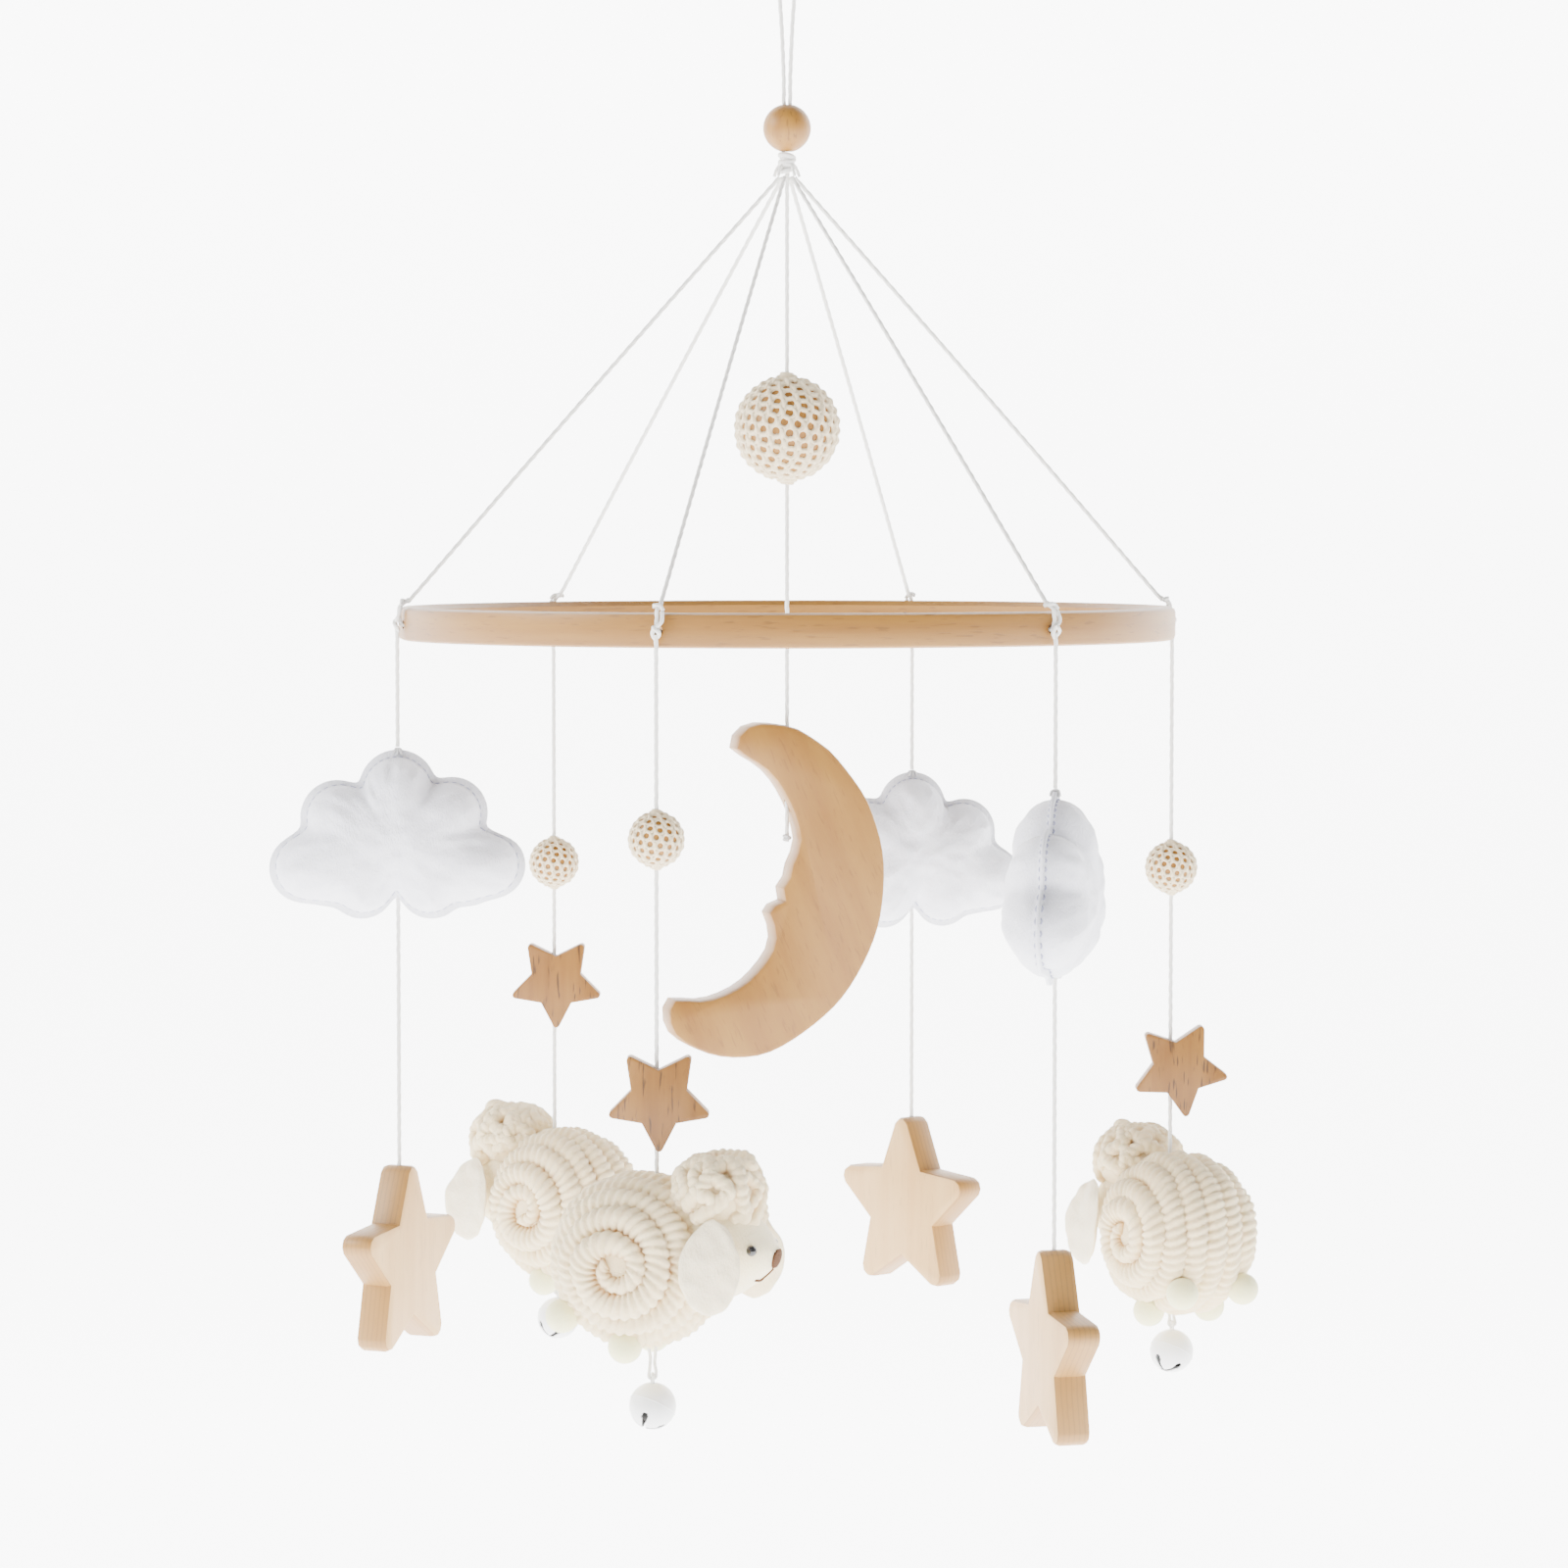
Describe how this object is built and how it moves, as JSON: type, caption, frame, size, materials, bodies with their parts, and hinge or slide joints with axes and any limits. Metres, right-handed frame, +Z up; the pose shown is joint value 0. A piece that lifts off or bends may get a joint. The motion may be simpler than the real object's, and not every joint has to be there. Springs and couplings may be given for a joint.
{
  "type": "crib mobile",
  "caption": "Crib mobile: a bent wood ring on cords carries a crescent moon, stuffed clouds, wood stars, wool sheep with jingle bells and crochet balls.",
  "frame": {"origin": "top of the hanging loop, where a hook holds the mobile", "axes": "+Z up, the front of the moon faces about -Y, +X to the right"},
  "size_m": [0.3305, 0.3058, 0.5033],
  "materials": {
    "wood": "oiled beech",
    "cord": "twisted cotton",
    "crochet": "cotton crochet",
    "felt": "wool felt",
    "wool": "carded wool rope",
    "ear_felt": "felted wool",
    "bell_paint": "matt white paint"
  },
  "bodies": {
    "loop": {"hang_loop": "cord"},
    "hoop": {"top_bead": "wood", "gather_knot": "cord", "wood_ring": "wood", "spoke_cord_cloud_1": "cord", "spoke_cord_cloud_2": "cord", "spoke_cord_cloud_3": "cord", "spoke_cord_sheep_1": "cord", "spoke_cord_sheep_2": "cord", "spoke_cord_sheep_3": "cord"},
    "centre_line": {"centre_cord": "cord", "big_ball_cover": "crochet", "big_ball_core": "wood"},
    "moon": {"moon": "wood"},
    "cloud_line_1": {"cloud_cord_1": "cord", "star_cord_1": "cord"},
    "cloud_1": {"cloud_1": "felt"},
    "big_star_1": {"big_star_1": "wood"},
    "cloud_line_2": {"cloud_cord_2": "cord", "star_cord_2": "cord"},
    "cloud_2": {"cloud_2": "felt"},
    "big_star_2": {"big_star_2": "wood"},
    "cloud_line_3": {"cloud_cord_3": "cord", "star_cord_3": "cord"},
    "cloud_3": {"cloud_3": "felt"},
    "big_star_3": {"big_star_3": "wood"},
    "sheep_line_1": {"sheep_cord_1": "cord", "small_ball_1_cover": "crochet", "small_ball_1_core": "wood"},
    "small_star_1": {"small_star_1": "wood"},
    "sheep_1": {"sheep_1_body": "wool", "sheep_1_head": "wool", "sheep_1_ear_left": "ear_felt", "sheep_1_ear_right": "ear_felt"},
    "bell_1": {"bell_cord_1": "cord", "bell_1": "bell_paint"},
    "sheep_line_2": {"sheep_cord_2": "cord", "small_ball_2_cover": "crochet", "small_ball_2_core": "wood"},
    "small_star_2": {"small_star_2": "wood"},
    "sheep_2": {"sheep_2_body": "wool", "sheep_2_head": "wool", "sheep_2_ear_left": "ear_felt", "sheep_2_ear_right": "ear_felt"},
    "bell_2": {"bell_cord_2": "cord", "bell_2": "bell_paint"},
    "sheep_line_3": {"sheep_cord_3": "cord", "small_ball_3_cover": "crochet", "small_ball_3_core": "wood"},
    "small_star_3": {"small_star_3": "wood"},
    "sheep_3": {"sheep_3_body": "wool", "sheep_3_head": "wool", "sheep_3_ear_left": "ear_felt", "sheep_3_ear_right": "ear_felt"},
    "bell_3": {"bell_cord_3": "cord", "bell_3": "bell_paint"}
  },
  "joints": [
    {"name": "mobile_spin", "type": "hinge", "parent": "loop", "child": "hoop", "pos_m": [0, 0, -0.07], "axis": [0, 0, 1], "continuous": true},
    {"name": "centre_swing", "type": "hinge", "parent": "hoop", "child": "centre_line", "pos_m": [0, 0, -0.095], "axis": [0, 1, 0], "range_deg": [-4, 4]},
    {"name": "moon_twist", "type": "hinge", "parent": "centre_line", "child": "moon", "pos_m": [0, 0, -0.28], "axis": [0, 0, 1], "continuous": true},
    {"name": "cloud_line_swing_1", "type": "hinge", "parent": "hoop", "child": "cloud_line_1", "pos_m": [-0.12852, -0.02967, -0.245], "axis": [0.225, -0.9744, 0], "range_deg": [-5, 5]},
    {"name": "cloud_twist_1", "type": "hinge", "parent": "cloud_line_1", "child": "cloud_1", "pos_m": [-0.12852, -0.02967, -0.295], "axis": [0, 0, 1], "continuous": true},
    {"name": "big_star_twist_1", "type": "hinge", "parent": "cloud_line_1", "child": "big_star_1", "pos_m": [-0.12852, -0.02967, -0.425], "axis": [0, 0, 1], "continuous": true},
    {"name": "cloud_line_swing_2", "type": "hinge", "parent": "hoop", "child": "cloud_line_2", "pos_m": [0.04511, 0.12394, -0.245], "axis": [-0.9397, 0.342, 0], "range_deg": [-5, 5]},
    {"name": "cloud_twist_2", "type": "hinge", "parent": "cloud_line_2", "child": "cloud_2", "pos_m": [0.04511, 0.12394, -0.295], "axis": [0, 0, 1], "continuous": true},
    {"name": "big_star_twist_2", "type": "hinge", "parent": "cloud_line_2", "child": "big_star_2", "pos_m": [0.04511, 0.12394, -0.425], "axis": [0, 0, 1], "continuous": true},
    {"name": "cloud_line_swing_3", "type": "hinge", "parent": "hoop", "child": "cloud_line_3", "pos_m": [0.08478, -0.10104, -0.245], "axis": [0.766, 0.6428, 0], "range_deg": [-5, 5]},
    {"name": "cloud_twist_3", "type": "hinge", "parent": "cloud_line_3", "child": "cloud_3", "pos_m": [0.08478, -0.10104, -0.295], "axis": [0, 0, 1], "continuous": true},
    {"name": "big_star_twist_3", "type": "hinge", "parent": "cloud_line_3", "child": "big_star_3", "pos_m": [0.08478, -0.10104, -0.425], "axis": [0, 0, 1], "continuous": true},
    {"name": "sheep_line_swing_1", "type": "hinge", "parent": "hoop", "child": "sheep_line_1", "pos_m": [-0.08301, 0.10251, -0.245], "axis": [-0.7771, -0.6293, 0], "range_deg": [-5, 5]},
    {"name": "small_star_twist_1", "type": "hinge", "parent": "sheep_line_1", "child": "small_star_1", "pos_m": [-0.08301, 0.10251, -0.385], "axis": [0, 0, 1], "continuous": true},
    {"name": "sheep_twist_1", "type": "hinge", "parent": "sheep_line_1", "child": "sheep_1", "pos_m": [-0.08301, 0.10251, -0.425], "axis": [0, 0, 1], "continuous": true},
    {"name": "bell_swing_1", "type": "hinge", "parent": "sheep_1", "child": "bell_1", "pos_m": [-0.08188, 0.10152, -0.4826], "axis": [-0.6561, -0.7547, 0], "range_deg": [-8, 8]},
    {"name": "sheep_line_swing_2", "type": "hinge", "parent": "hoop", "child": "sheep_line_2", "pos_m": [-0.04076, -0.12544, -0.245], "axis": [0.9511, -0.309, 0], "range_deg": [-5, 5]},
    {"name": "small_star_twist_2", "type": "hinge", "parent": "sheep_line_2", "child": "small_star_2", "pos_m": [-0.04076, -0.12544, -0.385], "axis": [0, 0, 1], "continuous": true},
    {"name": "sheep_twist_2", "type": "hinge", "parent": "sheep_line_2", "child": "sheep_2", "pos_m": [-0.04076, -0.12544, -0.425], "axis": [0, 0, 1], "continuous": true},
    {"name": "bell_swing_2", "type": "hinge", "parent": "sheep_2", "child": "bell_2", "pos_m": [-0.04217, -0.12493, -0.4696], "axis": [0.342, 0.9397, 0], "range_deg": [-8, 8]},
    {"name": "sheep_line_swing_3", "type": "hinge", "parent": "hoop", "child": "sheep_line_3", "pos_m": [0.13062, 0.01836, -0.245], "axis": [-0.1392, 0.9903, 0], "range_deg": [-5, 5]},
    {"name": "small_star_twist_3", "type": "hinge", "parent": "sheep_line_3", "child": "small_star_3", "pos_m": [0.13062, 0.01836, -0.385], "axis": [0, 0, 1], "continuous": true},
    {"name": "sheep_twist_3", "type": "hinge", "parent": "sheep_line_3", "child": "sheep_3", "pos_m": [0.13062, 0.01836, -0.425], "axis": [0, 0, 1], "continuous": true},
    {"name": "bell_swing_3", "type": "hinge", "parent": "sheep_3", "child": "bell_3", "pos_m": [0.13132, 0.01703, -0.4806], "axis": [-0.8829, -0.4695, 0], "range_deg": [-8, 8]}
  ]
}
